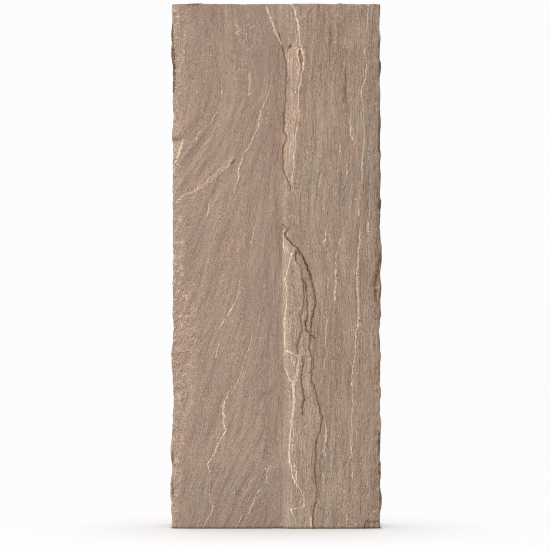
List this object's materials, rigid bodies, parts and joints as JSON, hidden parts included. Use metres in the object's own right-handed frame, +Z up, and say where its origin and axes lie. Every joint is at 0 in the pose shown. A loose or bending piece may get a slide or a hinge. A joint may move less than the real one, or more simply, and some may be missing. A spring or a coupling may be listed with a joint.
{
  "type": "sandstone edging post",
  "caption": "Upright slab of bedded sandstone with split faces and dressed edges, set on end as garden edging.",
  "frame": {"origin": "middle of the foot, the flat face that the post stands on", "axes": "+Z up the post, +X across its width, -Y out of the split front face"},
  "size_m": [0.198, 0.06, 0.5],
  "materials": {
    "sandstone": "split along the bedding, matt and gritty, dressed by chisel on the sides and top"
  },
  "bodies": {
    "root": {"stone_post": "sandstone"}
  },
  "joints": []
}
